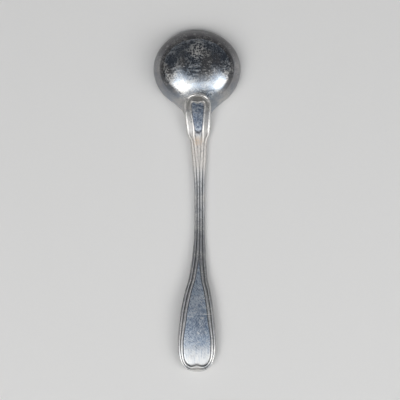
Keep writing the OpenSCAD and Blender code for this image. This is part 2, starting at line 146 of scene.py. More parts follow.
@dataclass(frozen=True)
class Sizes:
    """Named sizes of the spoon in millimetres, as its solid has them."""

    spoon_l: float = 106
    stem_bow: float = 0.83
    bowl_w: float = 27
    bowl_lip_l: float = 12.05
    bowl_heel_l: float = 12.7
    bowl_rise: float = 9.2
    bowl_floor_t: float = 1
    rim_w: float = 0.85
    rim_round: float = 0.2
    fullness: float = 0.997
    bowl_square: float = 2.2
    neck_leave: float = 140
    neck_from_bowl: float = 14.65
    neck_w: float = 8.24
    neck_l: float = 5.6
    shoulder_w: float = 6.94
    shoulder_l: float = 1.9
    stem_top_w: float = 5.34
    stem_taper_l: float = 15.5
    stem_mid_w: float = 4.1
    stem_w: float = 3.22
    widen_from_end: float = 45.5
    flare_from_end: float = 36
    flare_w: float = 4.16
    fiddle_from_end: float = 28.6
    fiddle_w: float = 6
    fiddle_step_l: float = 3.6
    fiddle_low_w: float = 7.9
    swell_from_end: float = 17.6
    swell_w: float = 10.4
    end_w: float = 11.6
    end_round_l: float = 8.6
    end_square: float = 2.6
    field_square: float = 3.4
    rim_mid_z: float = 0.65
    heel_z: float = 1.7
    stem_top_z: float = 0.65
    rest_from_end: float = 47
    crest_from_end: float = 14.5
    crest_z: float = 2.15
    end_z: float = 0.75
    lip_lift: float = 0.4
    end_dip: float = 2
    neck_t: float = 3.2
    neck_taper: float = 1.6
    shoulder_t: float = 1.95
    stem_t: float = 1.6
    end_t: float = 1.35
    flow_from_bowl: float = 5
    neck_crown: float = 1
    top_crown: float = 0.24
    stem_crown: float = 0.12
    outer_thread_w: float = 0.9
    inner_thread_w: float = 0.92
    thread_gap: float = 0.1
    thread_depth: float = 0.28
    field_sink: float = 0.14
    field_edge: float = 0.18
    end_band_w: float = 1.45
    end_frame_l: float = 1.65
    ogee_h: float = 0.5
    ogee_w: float = 2
    drop_ogee_h: float = 0.42
    drop_ogee_w: float = 1.5
    drop_round_l: float = 3.3
    drop_side_l: float = 3.2
    drop_w: float = 8.1
    drop_rise: float = 0.45
    drop_frame_w: float = 2.1
    drop_tip_frame: float = 2.5
    drop_low_w: float = 2.3
    drop_low_gap: float = 0.9
    drop_inner_w: float = 0.6
    drop_sink: float = 0.4
    drop_square: float = 3
    seam: float = 0.03
    field_open: float = 0.6
    panel_end_l: float = 0.9
    panel_end_round: float = 0.9
    edge_share: float = 0.5
    neck_edge_share: float = 0.32
    front_fade_l: float = 3.5
    section_from_bowl: float = 2
    rim_thicken_l: float = 2


class SpoonForm:
    """The spoon's curves. Places are [across, along], along from the lip, and heights are above the table."""

    def __init__(self, size: Sizes) -> None:
        """Works out the places along the spoon and its curves from the sizes.

        Args:
            size: The sizes.
        """
        self.size = s = size
        self.bowl_v = s.bowl_lip_l
        self.neck_v = self.bowl_v + s.neck_from_bowl
        self.drop_v = self.neck_v - s.drop_side_l
        self.hollow_end_v = self.bowl_v + s.bowl_heel_l - s.rim_w
        self.shoulder_v = self.neck_v + s.neck_l
        self.stem_v = self.shoulder_v + s.shoulder_l
        self.thin_v = self.stem_v + s.stem_taper_l
        self.rest_v = s.spoon_l - s.rest_from_end
        self.widen_v = s.spoon_l - s.widen_from_end
        self.crest_v = s.spoon_l - s.crest_from_end
        self.round_v = s.spoon_l - s.end_round_l
        fiddle_v = s.spoon_l - s.fiddle_from_end
        self.panel_end_v = self.shoulder_v - s.drop_low_gap
        self.band_w = s.outer_thread_w + s.thread_gap + s.inner_thread_w
        self.handle_half = Curve([
            (self.drop_v, s.drop_w / 2), (self.neck_v, s.neck_w / 2), (self.shoulder_v, s.shoulder_w / 2),
            (self.stem_v, s.stem_top_w / 2), (self.stem_v + s.stem_taper_l / 2, s.stem_mid_w / 2),
            (self.thin_v, s.stem_w / 2), (self.widen_v, s.stem_w / 2),
            (s.spoon_l - s.flare_from_end, s.flare_w / 2), (fiddle_v, s.fiddle_w / 2),
            (fiddle_v + s.fiddle_step_l, s.fiddle_low_w / 2), (s.spoon_l - s.swell_from_end, s.swell_w / 2),
            (self.round_v, s.end_w / 2),
        ], 1, 0)
        self.front_z = Curve([
            (0, 0), (self.bowl_v, s.rim_mid_z), (self.hollow_end_v, s.heel_z), (self.stem_v, s.stem_top_z),
            (self.rest_v, 0), (self.crest_v, s.crest_z), (s.spoon_l, s.end_z),
        ], s.lip_lift, s.end_dip)
        self.thickness = Curve([
            (self.neck_v, s.neck_t), (self.shoulder_v, s.shoulder_t), (self.rest_v, s.stem_t),
            (self.crest_v, s.end_t), (s.spoon_l, s.end_t),
        ], s.neck_taper)
        self.crown = Curve([
            (self.neck_v, s.neck_crown), (self.stem_v, s.top_crown), (self.rest_v, s.stem_crown),
            (s.spoon_l, s.stem_crown),
        ])
        self.panel_half = Curve([
            (self.drop_v, s.drop_w / 2 - s.drop_frame_w), (self.panel_end_v, s.drop_low_w / 2),
            (self.stem_v, s.stem_top_w / 2 - self.band_w),
        ], 0)
        self.leave = self.oval_place(np.array(s.neck_leave))
        turn = math.radians(s.neck_leave)
        self.leave_slope = s.bowl_w / 2 / s.bowl_heel_l * math.cos(turn) / math.sin(turn)
        self.neck_slope = float(self.handle_half.slopes[1])
        self.flow_v = self.bowl_v + s.flow_from_bowl
        self.flow_start = self._value_and_slope(
            lambda v: self.dome_z(v, (v - self.bowl_v) / s.bowl_heel_l), self.flow_v
        )
        self.flow_end = self._value_and_slope(lambda v: self.front_z(v) + self.thickness(v), self.neck_v)

    @staticmethod
    def _value_and_slope(height: Callable[[Array], Array], v: float, step: float = 0.01) -> Pair:
        """Value of a height curve at v, and its slope just after v."""
        here, after = float(height(np.array(v))), float(height(np.array(v + step)))
        return here, (after - here) / step

    def oval_length(self, v: Array) -> Array:
        """Half length of the bowl's oval on the side of its widest line where v is."""
        return np.where(v < self.bowl_v, self.size.bowl_lip_l, self.size.bowl_heel_l)

    def oval_place(self, angle: Array, inset: float = 0) -> Array:
        """Place on the bowl's oval at an angle from the lip, moved in by inset.

        Args:
            angle: Angles from the lip, in degrees.
            inset: How far inside the edge the place lies.

        Returns:
            Places as [across, along].
        """
        s = self.size
        half_l = np.where(angle < 90, s.bowl_lip_l, s.bowl_heel_l) - inset
        return np.stack([(s.bowl_w / 2 - inset) * sine(angle), self.bowl_v - half_l * cosine(angle)], -1)

    def oval_reach(self, u: Array, v: Array, inset: float = 0) -> Array:
        """How far out a place lies in the bowl's oval: 0 in its middle and 1 on its edge."""
        return np.hypot(u / (self.size.bowl_w / 2 - inset), (v - self.bowl_v) / (self.oval_length(v) - inset))

    def flank_half(self, v: Array) -> Array:
        """Half width of the hollow flank between the bowl and the neck.

        Args:
            v: Places along the spoon.

        Returns:
            Half widths.
        """
        span = self.neck_v - self.leave[1]
        return hermite(
            self.leave[0], self.size.neck_w / 2, self.leave_slope * span, self.neck_slope * span,
            (v - self.leave[1]) / span,
        )

    def outline_half(self, v: Array) -> Array:
        """Half width of the whole spoon at v.

        Args:
            v: Places along the spoon.

        Returns:
            Half widths.
        """
        run = np.clip((v - self.bowl_v) / self.oval_length(v), -1, 1)
        oval = self.size.bowl_w / 2 * np.sqrt(1 - run ** 2)
        past_bowl = np.where(v < self.neck_v, self.flank_half(v), self.handle_half(v))
        return np.where(v < self.leave[1], oval, past_bowl)

    def edge_z(self, v: Array) -> Array:
        """Height at which the edge stands out furthest.

        Args:
            v: Places along the spoon.

        Returns:
            Heights.
        """
        s = self.size
        share = mix(s.neck_edge_share, s.edge_share, ease(self.neck_v, self.stem_v, v))
        thicken = ease(self.leave[1] - s.rim_thicken_l, self.neck_v, v)
        return self.front_z(v) + mix(s.rim_round, self.thickness(v) * share, thicken)

    def fall(self, reach: Array) -> Array:
        """Rounded fall from 1 on the centre line to 0 at the rim.

        Args:
            reach: Shares of the way from the centre line to the rim.

        Returns:
            Shares of the height.
        """
        full, power = self.size.fullness, self.size.bowl_square
        foot = (1 - full ** power) ** (1 / power)
        q = full * np.minimum(np.abs(reach), 1)
        return ((1 - q ** power) ** (1 / power) - foot) / (1 - foot)

    def dome_z(self, v: Array, reach: Array) -> Array:
        """Height of the bowl's round back."""
        return self.edge_z(v) + (self.size.bowl_rise - self.size.rim_round) * self.fall(reach)

    def spine_z(self, v: Array) -> Array:
        """Height of the back along the centre line.

        Args:
            v: Places along the spoon.

        Returns:
            Heights.
        """
        dome = self.dome_z(v, (v - self.bowl_v) / self.oval_length(v))
        span = self.neck_v - self.flow_v
        (high, leaving), (low, joining) = self.flow_start, self.flow_end
        flow = hermite(high, low, leaving * span, joining * span, np.clip((v - self.flow_v) / span, 0, 1))
        handle = self.front_z(v) + self.thickness(v)
        return np.where(v < self.flow_v, dome, np.where(v < self.neck_v, flow, handle))

    def bare_back_z(self, u: Array, v: Array) -> Array:
        """Height of the back of the bowl and the neck without the drop.

        Args:
            u: Places across the spoon.
            v: Places along the spoon.

        Returns:
            Heights.
        """
        half = self.outline_half(v)
        reach = np.where(half > 0, u / np.where(half > 0, half, 1), 0)
        section = self.edge_z(v) + (self.spine_z(v) - self.edge_z(v)) * self.fall(reach)
        start = self.bowl_v + self.size.section_from_bowl
        return mix(self.dome_z(v, self.oval_reach(u, v)), section, ease(start, self.leave[1], v))

    def hollow_z(self, u: Array, v: Array) -> Array:
        """Height of the hollow's wall."""
        s = self.size
        return self.front_z(v) + (s.bowl_rise - s.bowl_floor_t) * self.fall(self.oval_reach(u, v, s.rim_w))

    def back_crest_z(self, u: Array, v: Array) -> Array:
        """Level of the threads' crests on the back.

        Args:
            u: Places across the spoon.
            v: Places along the spoon.

        Returns:
            Heights.
        """
        on_drop = self.bare_back_z(u, np.minimum(v, self.neck_v))
        half = self.handle_half(np.minimum(v, self.round_v))
        on_handle = self.spine_z(v) - self.crown(v) * (u / half) ** 2
        lift = self.size.drop_rise * (1 - ease(self.drop_v - self.size.drop_round_l, self.shoulder_v, v))
        return mix(on_drop, on_handle, ease(self.drop_v, self.neck_v, v)) + lift

    def front_crest_z(self, u: Array, v: Array) -> Array:
        """Level of the threads' crests on the front."""
        half = self.handle_half(np.minimum(v, self.round_v))
        return self.front_z(v) + self.size.stem_crown * (u / half) ** 2

    def threads_w(self, v: Array) -> Array:
        """Width of both threads together, which narrows over the lower half of the fiddle."""
        swell_v = self.size.spoon_l - self.size.swell_from_end
        return mix(self.band_w, self.size.end_band_w, ease(swell_v, self.round_v, v))

    @staticmethod
    def ogee(u: Array, height: float, half_w: float) -> Array:
        """Height of the small point in the middle of a rounded end."""
        return height * (1 + np.cos(np.pi * np.minimum(np.abs(u) / half_w, 1))) / 2

    def bow_x(self, v: Array) -> Array:
        """Sideways bow of the stem."""
        back = 1 - ease(self.widen_v, self.crest_v, v)
        return self.size.stem_bow * ease(self.bowl_v, self.thin_v, v) * back


# The spoon's mesh


def quads(grid: Array) -> Array:
    """Faces between the rows and columns of a grid of point numbers."""
    return np.stack([grid[:-1, :-1], grid[:-1, 1:], grid[1:, 1:], grid[1:, :-1]], -1).reshape(-1, 4)


@dataclass(frozen=True)
class Facets:
    """How finely the spoon's mesh is divided."""

    drop_rows: int = 72
    drop_side_rows: int = 26
    neck_rows: int = 28
    shoulder_rows: int = 18
    stem_rows: int = 52
    fiddle_rows: int = 64
    end_rows: int = 84
    back: int = 56
    hollow: int = 40
    thread: int = 16
    field: int = 10
    rim_flat: int = 3


class Column(IntEnum):
    """Which part of the handle's width a column of points lies on."""

    OUTER = 0
    INNER = 1
    FIELD = 2


class SpoonMesh:
    """The dressed spoon's mesh: one half as fields of points, and its twin across the centre line."""

    TONED_L = 4.5
    BAND_FADE = (1.6, 3.9)
    DROP_FOOT_W = 0.5
    DROP_FOOT_SHARE = 0.5
    GROOVE_RUN = 0.12
    FIELD_ROOM = 0.1
    # The last mark, rim, says how much of the painted dark reflection by the edge falls on a point
    RIM_MARKS = (0, 0, 0.6, 0.5)
    HOLLOW_MARKS = (0, 0, 0.6, 0)
    ON_LINE = 1e-7

    def __init__(self, form: SpoonForm, facets: Facets) -> None:
        """Lays out the rows and columns of points.

        Args:
            form: The curves that the points lie on.
            facets: How finely each stretch is divided.
        """
        self.form, self.size, self.facets = form, form.size, facets
        f = facets
        self.rim_last = f.drop_rows + f.drop_side_rows
        turns = np.linspace(0, 180, f.thread + 1)
        shares = np.linspace(0, 1, f.field + 1)
        self.kinds = np.repeat(list(Column), [len(turns), len(turns), len(shares)])
        self.shares = np.concatenate([turns, turns, shares])
        self.back_rows = self._back_rows()
        self.front_rows = self._front_rows()
        self.points: list[Array] = []
        self.marks: list[Array] = []
        self.count = 0

    @staticmethod
    def _round_end(angle: Array, start_v: float, half: float, reach: float, square: float = 2) -> Array:
        """Places on a rounded end, at angles from its side to its tip."""
        power = 2 / square
        return np.stack([half * cosine(angle) ** power, start_v + reach * sine(angle) ** power], -1)

    def _drop_rows(self) -> Array:
        """Rows that fan round the drop's tip.

        Returns:
            Places by row, and on each by outline, field edge and middle.
        """
        s, start = self.size, self.form.drop_v
        angle = np.linspace(90, 0, self.facets.drop_rows + 1)
        outline = self._round_end(angle, start, s.drop_w / 2, -s.drop_round_l)
        half, reach = s.drop_w / 2 - s.drop_frame_w, s.drop_tip_frame - s.drop_round_l
        field = self._round_end(angle, start, half, reach, s.drop_square)
        field[:, 1] += self.form.ogee(field[:, 0], s.drop_ogee_h, s.drop_ogee_w)
        return np.stack([outline, field, 0 * field + [0, start]], 1)

    def _end_rows(self) -> Array:
        """Rows that fan round the end of the handle.

        Returns:
            Places by row, and on each by outline, field edge and middle.
        """
        s, start = self.size, self.form.round_v
        angle = np.linspace(0, 90, self.facets.end_rows + 1)[1:]
        outline = self._round_end(angle, start, s.end_w / 2, s.end_round_l, s.end_square)
        half, reach = s.end_w / 2 - s.end_band_w, s.end_round_l - s.end_frame_l
        field = self._round_end(angle, start, half, reach, s.field_square)
        field[:, 1] -= self.form.ogee(field[:, 0], s.ogee_h, s.ogee_w) * sine(angle)
        return np.stack([outline, field, 0 * field + [0, start]], 1)

    def _straight_rows(self, v: Array) -> Array:
        """Rows straight across the handle at the places v.

        Args:
            v: Places along the spoon.

        Returns:
            Places by row, and on each by outline, field edge and middle.
        """
        form = self.form
        half = form.handle_half(v)
        field = np.where(
            v < form.stem_v, form.panel_half(np.minimum(v, form.stem_v)),
            np.maximum(half - form.threads_w(v), self.size.seam),
        )
        return np.stack([np.stack([u, v], -1) for u in (half, field, 0 * v)], 1)

    def _back_rows(self) -> Array:
        """All rows of the back, from the tip of the drop to the end of the handle.

        Returns:
            Places by row, and on each by outline, field edge and middle.
        """
        form, f = self.form, self.facets
        stops = [form.drop_v, form.neck_v, form.shoulder_v, form.stem_v, form.widen_v, form.round_v]
        counts = [f.drop_side_rows, f.neck_rows, f.shoulder_rows, f.stem_rows, f.fiddle_rows]
        places = np.concatenate([
            np.linspace(start, stop, rows + 1)[1:] for start, stop, rows in zip(stops, stops[1:], counts)
        ])
        return np.concatenate([self._drop_rows(), self._straight_rows(places), self._end_rows()])

    def _front_rows(self) -> Array:
        """Rows of the front, which bend under the neck to start at the rim of the hollow.

        Returns:
            Places by row, and on each by outline, field edge and middle.
        """
        form, size = self.form, self.size
        rows = self.back_rows[self.rim_last:]
        v = rows[:, 0, 1]
        past = (v > form.round_v)[:, None]
        lag = (form.neck_v - form.hollow_end_v) * (1 - ease(form.neck_v, form.stem_v + size.shoulder_l, v))
        middle = rows[:, 2] - np.stack([0 * v, np.where(past[:, 0], 0, lag)], -1)
        half = norm(rows[:, 0] - middle)
        band = np.minimum(form.threads_w(v)[:, None], half - size.seam)
        field = np.where(past, rows[:, 1], mix(rows[:, 0], middle, band / half))
        return np.stack([rows[:, 0], field, middle], 1)

    def _column_places(self, rows: Array, inner_w: Array) -> Array:
        """Plan places of every column on every row.

        Args:
            rows: The rows' places on the outline, the field's edge and the centre line.
            inner_w: Width of the inner thread on each row.

        Returns:
            An array of rows by columns by [across, along].
        """
        size = self.size
        outline, field, middle = (rows[:, k, None, :] for k in range(3))
        band, depth = norm(field - outline), norm(middle - field)
        inner_w = inner_w[:, None, None]
        scale = np.minimum(1, band / (size.outer_thread_w + size.thread_gap + inner_w))
        inner = inner_w * scale
        past = rows[:, 0, 1][:, None, None] > self.form.round_v
        outer = np.where(past, band - inner - size.thread_gap * scale, size.outer_thread_w * scale)
        edge = np.minimum(size.field_edge, depth / 2)
        inward, to_middle = (field - outline) / band, (middle - field) / depth
        share = self.shares[None, :, None]
        bulge = (1 - cosine(share)) / 2
        kind = self.kinds[None, :, None]
        on_outer = outline + inward * outer * bulge
        on_inner = outline + inward * (band - inner + inner * bulge)
        on_field = mix(field + to_middle * edge, middle, share)
        return np.select([kind == Column.OUTER, kind == Column.INNER], [on_outer, on_inner], on_field)

    def _column_depths(self, rows: Array, depth: Array, sink: Array) -> Array:
        """Depth of every column under the crests.

        Args:
            rows: Places of the rows.
            depth: Depth of the grooves on each row.
            sink: Depth of the open field.

        Returns:
            Depths by row and column.
        """
        room = norm(rows[:, 2] - rows[:, 1])
        opened = mix(depth[:, None], sink, ease(0, self.size.field_open, room))
        beads = depth[:, None] * (1 - sine(self.shares))
        return np.where(self.kinds == Column.FIELD, opened, beads)

    def _with_flank(self, foot: Array, crest: Array, height: Array) -> Array:
        """Heights of a strip, whose outer flank climbs from the foot to the crest in a quarter ellipse."""
        rising = (self.kinds == Column.OUTER) & (self.shares <= 90)
        return np.where(rising, mix(foot, crest, sine(self.shares)), height)

    def _groove_marks(self, rows: Array) -> Array:
        """Marks of a strip: how deep in a groove and how far on the field each point is.

        Args:
            rows: Places of the rows.

        Returns:
            Marks by row and column.
        """
        room = norm(rows[:, 2] - rows[:, 1])
        on_field = self.kinds == Column.FIELD
        run = self.shares * np.minimum(room, 1) * (room > 2 * self.size.seam)
        groove = np.where(on_field, 1 - ease(0, self.GROOVE_RUN, run), 1 - sine(self.shares))
        groove = np.where((self.kinds == Column.OUTER) & (self.shares < 90), 0, groove)
        form, v = self.form, rows[:, 2:, 1]
        widening = ease(form.widen_v, form.widen_v + self.TONED_L, v)
        off_stem = 1 - ease(form.panel_end_v, form.stem_v, v) * (1 - widening)
        field = np.where(on_field, ease(self.FIELD_ROOM, self.size.field_open, room) * off_stem, 0)
        return np.stack([groove, field, 0 * groove, 0 * groove], -1)

    def _add_field(self, place: Array, height: Array, marks: Array | tuple[float, ...]) -> Array:
        """Adds a grid of points over plan places, and returns the grid of their numbers.

        Args:
            place: Plan places.
            height: Heights over them.
            marks: Marks of each point, or of all points.

        Returns:
            Point numbers by row and column.
        """
        numbers = self.count + np.arange(height.size).reshape(height.shape)
        self.points.append(np.concatenate([place, height[..., None]], -1).reshape(-1, 3))
        self.marks.append(np.broadcast_to(marks, (*height.shape, len(MARKS))).reshape(-1, len(MARKS)))
        self.count += height.size
        return numbers

    def _back_grid(self) -> Array:
        """Adds the back of the handle with the drop, and returns its numbers.

        Returns:
            Point numbers by row and column.
        """
        form, size, rows = self.form, self.size, self.back_rows
        at = rows[:, 0, 1]
        on_drop = 1 - ease(form.drop_v, form.neck_v, at)
        on_handle = ease(form.panel_end_v, form.panel_end_v + size.panel_end_l, at)
        place = self._column_places(rows, mix(size.drop_inner_w, size.inner_thread_w, on_handle))
        depth = np.maximum(size.thread_depth, size.drop_rise * on_drop)
        u, v = place[..., 0], place[..., 1]
        bend = size.panel_end_round * (u / (size.drop_low_w / 2)) ** 2
        past_panel = ease(form.panel_end_v, form.panel_end_v + size.panel_end_l, v + bend)
        sink = mix(size.drop_sink, size.field_sink, past_panel)
        crest = form.back_crest_z(u, v)
        foot = np.where(at[:, None] < form.neck_v, form.bare_back_z(u, v), form.edge_z(v))
        height = self._with_flank(foot, crest, crest - self._column_depths(rows, depth, sink))
        grid = self._add_field(place, height, self._groove_marks(rows))
        fan_last = len(rows) - 1 - self.facets.end_rows
        grid[:, -1] = grid[np.clip(np.arange(len(rows)), self.facets.drop_rows, fan_last), -1]
        return grid

    def _front_grid(self) -> Array:
        """Adds the front of the handle, and returns its numbers.

        Returns:
            Point numbers by row and column.
        """
        form, size, rows = self.form, self.size, self.front_rows
        at = rows[:, 0, 1]
        fade = ease(form.neck_v, form.neck_v + size.front_fade_l, at)[:, None]
        full = np.ones(len(rows))
        place = self._column_places(rows, full * size.inner_thread_w)
        u, v = place[..., 0], place[..., 1]
        crest = form.front_crest_z(u, v)
        depths = self._column_depths(rows, full * size.thread_depth, size.field_sink)
        height = self._with_flank(form.edge_z(v), crest, crest + fade * depths)
        grid = self._add_field(place, height, self._groove_marks(rows) * fade[..., None])
        last = len(rows) - 1 - self.facets.end_rows
        grid[:, -1] = grid[np.minimum(np.arange(len(rows)), last), -1]
        return grid

    def _rim_places(self) -> tuple[Array, Array]:
        """Places on the outline from the lip to the neck, and the hollow's angles that go with them.

        Returns:
            Places, and angles from the lip in degrees.
        """
        form, size, f = self.form, self.size, self.facets
        angle = size.neck_leave * np.arange(f.drop_rows + 1) / f.drop_rows
        v = np.linspace(form.leave[1], form.neck_v, f.drop_side_rows + 1)[1:]
        places = np.concatenate([form.oval_place(angle), np.stack([form.flank_half(v), v], -1)])
        rest = mix(size.neck_leave, 180, np.arange(1, f.drop_side_rows + 1) / f.drop_side_rows)
        return places, np.concatenate([angle, rest])

    def _bowl_grid(self, back: Array, rim: Array) -> Array:
        """Adds the back of the bowl between the drop and the rim, and returns its numbers.

        Args:
            back: Point numbers of the handle's back.
            rim: Places on the outline.

        Returns:
            Point numbers by row and column.
        """
        reach = sine(90 * np.arange(self.facets.back + 1) / self.facets.back)[None, :, None]
        place = mix(self.back_rows[: self.rim_last + 1, None, 0], rim[:, None], reach)
        height = self.form.bare_back_z(place[..., 0], place[..., 1])
        foot = 1 - ease(0, self.DROP_FOOT_W, norm(place - place[:, :1])[..., 0])
        # Rim mark: where the painted dark reflection of the band by the edge goes
        band = 1 - ease(*self.BAND_FADE, norm(place[:, :, None] - rim).min(2)[..., 0])
        marks = np.stack([foot, 0 * foot, 1 - foot * self.DROP_FOOT_SHARE, band], -1)
        grid = self._add_field(place, height, marks)
        grid[:, 0] = back[: self.rim_last + 1, 0]
        grid[-1] = back[self.rim_last, 0]
        return grid

    def _rim_grid(self, bowl: Array, rim: Array, angles: Array) -> Array:
        """Adds the rounded edge of the rim and its flat, and returns its numbers up to the hollow.

        Args:
            bowl: Point numbers of the bowl's back.
            rim: Places on the outline.
            angles: Angles of the hollow's edge.

        Returns:
            Point numbers by row and column.
        """
        form, size, f = self.form, self.size, self.facets
        inner = form.oval_place(angles, size.rim_w)
        width = norm(inner - rim)
        turn = np.clip((np.arange(self.rim_last + 1) - f.drop_rows) / f.drop_side_rows, 0, 1)
        inset = mix(size.rim_round, size.outer_thread_w / 2, turn)
        climb = np.linspace(0, 90, f.thread // 2 + 1)[1:]
        rounded = inset[:, None] * (1 - cosine(climb))[None]
        flat = mix(inset[:, None], width, (np.arange(1, f.rim_flat) / f.rim_flat)[None])
        share = np.concatenate([rounded, flat], 1) / width
        place = mix(rim[:, None], inner[:, None], share[..., None])
        edge, face = form.edge_z(place[..., 1]), form.front_z(place[..., 1])
        drop = np.concatenate([sine(climb), np.ones(f.rim_flat - 1)])[None]
        grid = self._add_field(place, mix(edge, face, drop), self.RIM_MARKS)
        return np.concatenate([bowl[:, -1:], grid], 1)

    def _hollow_grid(self, angles: Array) -> Array:
        """Adds the hollow of the bowl, and returns its numbers.

        Args:
            angles: Angles of the hollow's edge.

        Returns:
            Point numbers by row and column.
        """
        form = self.form
        reach = cosine(90 * np.arange(self.facets.hollow + 1) / self.facets.hollow)[None, :, None]
        centre = np.array([0, form.bowl_v])
        place = mix(centre, form.oval_place(angles, self.size.rim_w)[:, None], reach)
        height = form.hollow_z(place[..., 0], place[..., 1])
        grid = self._add_field(place, height, self.HOLLOW_MARKS)
        grid[:, -1] = grid[0, -1]
        return grid

    @staticmethod
    def _zip(short: Array, long: Array, starts: list[int]) -> Array:
        """Triangles between two rows, where each point of the short one fans out over the long one.

        Args:
            short: Point numbers of the short row.
            long: Point numbers of the long row.
            starts: Where the fan of each short point starts in the long row.

        Returns:
            Faces.
        """
        owner = np.searchsorted(starts, np.arange(len(long) - 1), side="right") - 1
        fans = np.stack([short[owner], long[:-1], long[1:], long[1:]], -1)
        steps = np.stack([short[1:], short[:-1], long[starts[1:]], long[starts[1:]]], -1)
        return np.concatenate([fans, steps])

    def build(self) -> tuple[Array, list[list[int]], Array]:
        """Makes the points, faces and marks of the whole spoon.

        Returns:
            Points in metres, faces as lists of point numbers, and the marks of each point.
        """
        f = self.facets
        rim, angles = self._rim_places()
        back = self._back_grid()
        bowl = self._bowl_grid(back, rim)
        edge = self._rim_grid(bowl, rim, angles)
        hollow = self._hollow_grid(angles)
        front = self._front_grid()
        front[:, 0] = back[self.rim_last:, 0]
        front[0, -1] = hollow[-1, 0]
        rim_grid = np.concatenate([edge, hollow[:, :1]], 1)
        half = f.thread // 2
        starts = list(range(half + 1)) + [
            half + (len(front[0]) - 1 - half) * (k + 1) // (f.rim_flat + 1) for k in range(f.rim_flat)
        ]
        faces = np.concatenate([
            *(quads(grid) for grid in (back, bowl.T, rim_grid[:-1].T, hollow.T, front.T)),
            self._zip(rim_grid[-2], front[0], starts),
        ])
        return self._mirrored(np.concatenate(self.points), np.concatenate(self.marks), faces)

    def _mirrored(
        self, points: Array, marks: Array, faces: Array
    ) -> tuple[Array, list[list[int]], Array]:
        """Adds the other half, leaves out points without a face, and puts the spoon in its place.

        Args:
            points: Points of one half, in millimetres.
            marks: Their marks.
            faces: Faces between them.

        Returns:
            Points in metres, faces and marks of the whole spoon.
        """
        on_line = np.abs(points[:, 0]) < self.ON_LINE
        points[on_line, 0] = 0
        twin = np.where(on_line, np.arange(len(points)), np.arange(len(points)) + len(points))
        both = np.concatenate([faces, twin[faces][:, ::-1]])
        used, numbers = np.unique(both, return_inverse=True)
        numbers = numbers.reshape(both.shape)
        clean = [list(dict.fromkeys(face)) for face in numbers.tolist()]
        all_points = np.concatenate([points, points * [-1, 1, 1]])[used]
        all_marks = np.concatenate([marks, marks])[used]
        along = all_points[:, 1].copy()
        all_points[:, 0] += self.form.bow_x(along)
        all_points[:, 1] = self.size.spoon_l / 2 - along
        return all_points * MM, [face for face in clean if len(face) > 2], all_marks


# Shader language


class Signal:
    """A socket of a material's nodes, with arithmetic that adds Math nodes."""

    def __init__(self, canvas: "Canvas", socket: bpy.types.NodeSocket) -> None:
        """Wraps a socket of the canvas."""
        self.canvas, self.socket = canvas, socket

    def _math(self, operation: str, first: "Signal | float", second: "Signal | float") -> "Signal":
        """Adds one Math node."""
        return self.canvas.node("ShaderNodeMath", {"operation": operation}, {0: first, 1: second})

    def __add__(self, other: "Signal | float") -> "Signal":
        """Sum."""
        return self._math("ADD", self, other)

    __radd__ = __add__

    def __sub__(self, other: "Signal | float") -> "Signal":
        """Difference."""
        return self._math("SUBTRACT", self, other)

    def __rsub__(self, other: "Signal | float") -> "Signal":
        """Difference the other way round."""
        return self._math("SUBTRACT", other, self)

    def __mul__(self, other: "Signal | float") -> "Signal":
        """Product."""
        return self._math("MULTIPLY", self, other)

    __rmul__ = __mul__

    def at_most(self, other: "Signal | float") -> "Signal":
        """The smaller of the two."""
        return self._math("MINIMUM", self, other)

    def at_least(self, other: "Signal | float") -> "Signal":
        """The larger of the two."""
        return self._math("MAXIMUM", self, other)

    def span(self, low: float, high: float) -> "Signal":
        """Value that runs from low to high as this one runs from 0 to 1."""
        return self * (high - low) + low

    def over(self, ramp: "Ramp") -> "Signal":
        """Product of a ramp's smooth steps."""
        return reduce(Signal.__mul__, [self.step(*step) for step in ramp.value])

    def step(self, start: float, stop: float, first: float = 0, last: float = 1) -> "Signal":
        """Smooth step from first, where this value is at start, to last, where it is at stop.

        Args:
            start: Level where the step starts.
            stop: Level where it ends.
            first: Value before the step.
            last: Value after it.

        Returns:
            The step.
        """
        return self.canvas.node(
            "ShaderNodeMapRange", {"interpolation_type": "SMOOTHSTEP"},
            {"Value": self, "From Min": start, "From Max": stop, "To Min": first, "To Max": last},
        )


